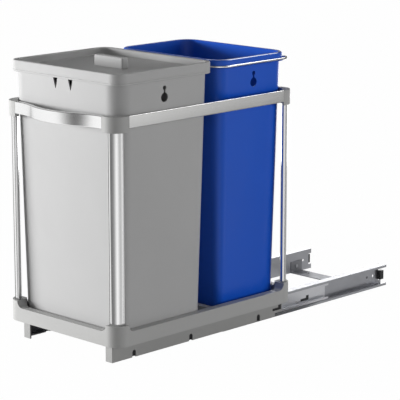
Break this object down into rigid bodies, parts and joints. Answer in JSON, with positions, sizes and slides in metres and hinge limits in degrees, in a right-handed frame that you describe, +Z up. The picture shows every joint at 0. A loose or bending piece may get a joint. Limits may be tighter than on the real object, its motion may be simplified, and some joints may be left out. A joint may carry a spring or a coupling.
{
  "type": "pull-out recycling bin unit",
  "caption": "Floor-mounted pull-out unit for a narrow sink cabinet: a lidded grey bin and an open blue bin in a posted tray on telescopic ball slides.",
  "frame": {"origin": "middle of the four floor screw holes, on the cabinet floor under the slides", "axes": "+X right, +Y into the cabinet along the slides, +Z up; the handle faces -Y"},
  "size_m": [0.2458, 0.672, 0.436],
  "materials": {
    "zinc_steel": "zinc-plated rolled steel",
    "cage_steel": "pressed steel cage with steel balls",
    "black_plastic": "moulded",
    "frame_plastic": "moulded light grey",
    "brushed_aluminium": "brushed along its length",
    "bright_aluminium": "bright anodised extrusion",
    "grey_plastic": "fine grained moulding",
    "blue_plastic": "fine grained moulding",
    "chrome_wire": "polished wire"
  },
  "bodies": {
    "cabinet_rails": {"cabinet_rail_left": "zinc_steel", "cabinet_rail_right": "zinc_steel", "front_tie": "zinc_steel", "rear_tie": "zinc_steel", "tie_rivets": "zinc_steel", "rail_stop_left": "black_plastic", "rail_stop_right": "black_plastic"},
    "middle_members": {"middle_rail_left": "zinc_steel", "middle_rail_right": "zinc_steel"},
    "outer_ball_cages": {"ball_cage_outer_left": "cage_steel", "ball_cage_outer_right": "cage_steel"},
    "inner_ball_cages": {"ball_cage_inner_left": "cage_steel", "ball_cage_inner_right": "cage_steel"},
    "tray": {"base_frame": "frame_plastic", "corner_post_front_left": "bright_aluminium", "corner_post_front_right": "bright_aluminium", "corner_post_rear_left": "bright_aluminium", "corner_post_rear_right": "bright_aluminium", "corner_block_front_left": "frame_plastic", "corner_block_front_right": "frame_plastic", "corner_block_rear_left": "frame_plastic", "corner_block_rear_right": "frame_plastic", "front_handle": "brushed_aluminium", "rear_rail": "brushed_aluminium", "side_rail_left": "brushed_aluminium", "side_rail_right": "brushed_aluminium", "skirt_left": "frame_plastic", "skirt_right": "frame_plastic", "drawer_rail_left": "zinc_steel", "drawer_rail_right": "zinc_steel"},
    "large_bin": {"grey_bin": "grey_plastic"},
    "lift_off_lid": {"lid": "grey_plastic"},
    "small_bin": {"blue_bin": "blue_plastic"},
    "bag_clamp": {"bag_hoop": "chrome_wire"}
  },
  "joints": [
    {"name": "tray_slide", "type": "slide", "parent": "cabinet_rails", "child": "tray", "axis": [0, -1, 0], "range_m": [-0.235, 0.145]},
    {"name": "middle_slide", "type": "slide", "parent": "cabinet_rails", "child": "middle_members", "axis": [0, -1, 0], "range_m": [-0.1175, 0.0725]},
    {"name": "outer_cage_slide", "type": "slide", "parent": "cabinet_rails", "child": "outer_ball_cages", "axis": [0, -1, 0], "range_m": [-0.05875, 0.03625]},
    {"name": "inner_cage_slide", "type": "slide", "parent": "cabinet_rails", "child": "inner_ball_cages", "axis": [0, -1, 0], "range_m": [-0.17625, 0.10875]},
    {"name": "large_bin_lift", "type": "slide", "parent": "tray", "child": "large_bin", "axis": [0, 0, 1], "range_m": [0, 0.34]},
    {"name": "lid_lift", "type": "slide", "parent": "large_bin", "child": "lift_off_lid", "axis": [0, 0, 1], "range_m": [0, 0.1]},
    {"name": "small_bin_lift", "type": "slide", "parent": "tray", "child": "small_bin", "axis": [0, 0, 1], "range_m": [0, 0.34]},
    {"name": "bag_hoop_lift", "type": "slide", "parent": "small_bin", "child": "bag_clamp", "axis": [0, 0, 1], "range_m": [0, 0.06]}
  ],
  "couplings": [
    {"joint": "middle_slide", "follows": "tray_slide", "ratio": 0.5},
    {"joint": "outer_cage_slide", "follows": "tray_slide", "ratio": 0.25},
    {"joint": "inner_cage_slide", "follows": "tray_slide", "ratio": 0.75}
  ]
}
